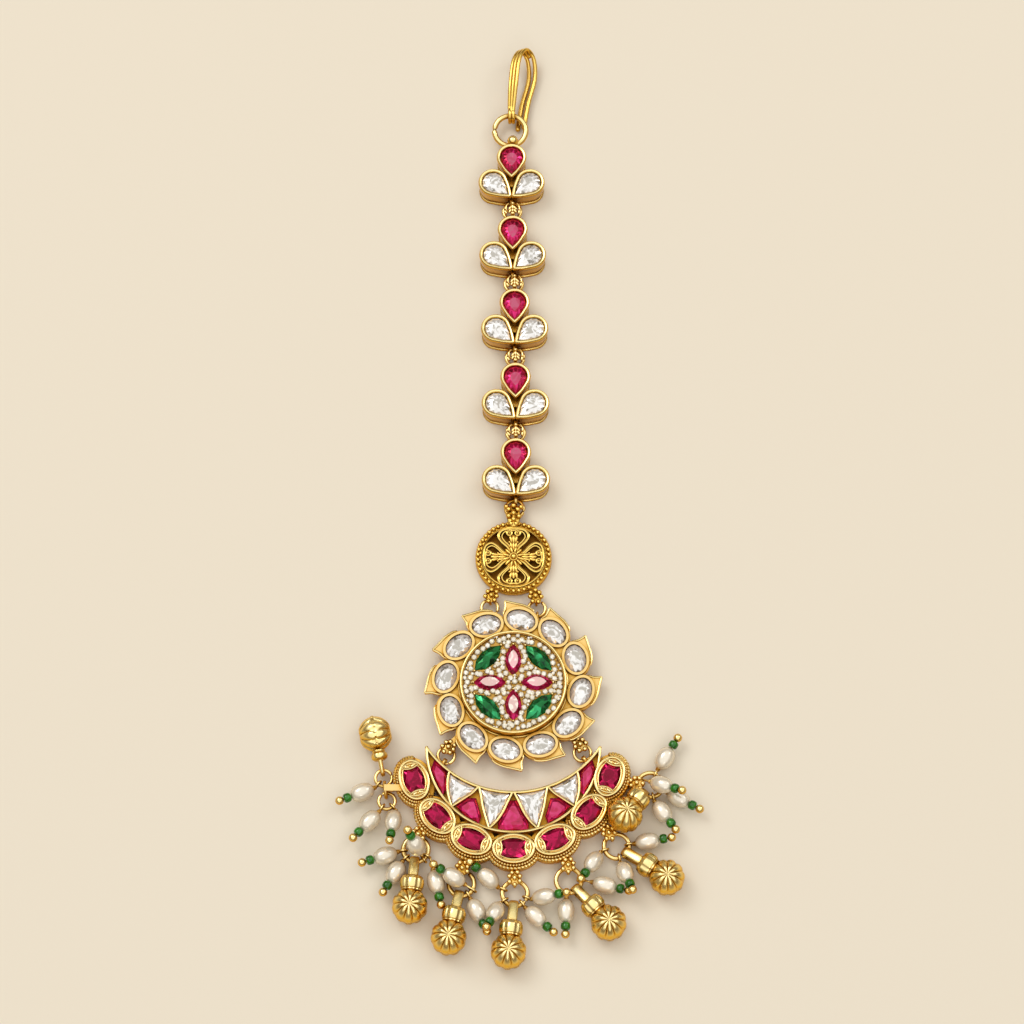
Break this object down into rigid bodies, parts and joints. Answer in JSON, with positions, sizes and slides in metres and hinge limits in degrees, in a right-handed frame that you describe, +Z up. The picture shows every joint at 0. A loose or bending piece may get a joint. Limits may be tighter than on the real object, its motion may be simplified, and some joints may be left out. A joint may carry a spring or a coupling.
{
  "type": "maang tikka",
  "caption": "Bridal forehead ornament: hook and stone-set chain down to a round medallion, a jewelled crescent, and a fringe of ribbed bells and pearl drops.",
  "frame": {"origin": "under the medallion's centre, on its flat back, which lies on the surface", "axes": "+X to the right seen from the face, +Y along the chain towards the hook, +Z up through the face"},
  "size_m": [0.0621, 0.1707, 0.0092],
  "materials": {
    "gilt_metal": "antique gold plating, polished high spots and darker recesses",
    "ruby_glass": "faceted, foil-backed red paste",
    "clear_glass": "faceted, foil-backed clear paste",
    "emerald_glass": "faceted, foil-backed green paste",
    "pearl": "nacre with a soft sheen",
    "green_glass": "polished dark green beads"
  },
  "bodies": {
    "root": {"bell_1": "gilt_metal", "bell_2": "gilt_metal", "bell_3": "gilt_metal", "bell_4": "gilt_metal", "bell_5": "gilt_metal", "bell_6": "gilt_metal", "bell_7": "gilt_metal", "chain_crystals": "clear_glass", "chain_link_1": "gilt_metal", "chain_link_2": "gilt_metal", "chain_link_3": "gilt_metal", "chain_link_4": "gilt_metal", "chain_link_5": "gilt_metal", "chain_ring_1": "gilt_metal", "chain_ring_2": "gilt_metal", "chain_ring_3": "gilt_metal", "chain_ring_4": "gilt_metal", "chain_ring_5": "gilt_metal", "chain_rubies": "ruby_glass", "crescent": "gilt_metal", "crescent_crystals": "clear_glass", "crescent_ring_left": "gilt_metal", "crescent_ring_right": "gilt_metal", "crescent_rubies": "ruby_glass", "disc_ring_left": "gilt_metal", "disc_ring_right": "gilt_metal", "drop_ring_1": "gilt_metal", "drop_ring_2": "gilt_metal", "drop_ring_3": "gilt_metal", "drop_ring_4": "gilt_metal", "drop_ring_5": "gilt_metal", "drop_ring_6": "gilt_metal", "drop_ring_7": "gilt_metal", "filigree_disc": "gilt_metal", "green_beads": "green_glass", "hook": "gilt_metal", "hook_ring": "gilt_metal", "medallion": "gilt_metal", "medallion_crystals": "clear_glass", "medallion_emeralds": "emerald_glass", "medallion_rubies": "ruby_glass", "oval_rubies": "ruby_glass", "pearl_pins_1": "gilt_metal", "pearl_pins_2": "gilt_metal", "pearl_pins_3": "gilt_metal", "pearl_pins_4": "gilt_metal", "pearl_pins_5": "gilt_metal", "pearl_pins_6": "gilt_metal", "pearl_pins_7": "gilt_metal", "pearls_1": "pearl", "pearls_2": "pearl", "pearls_3": "pearl", "pearls_4": "pearl", "pearls_5": "pearl", "pearls_6": "pearl", "pearls_7": "pearl"}
  },
  "joints": []
}
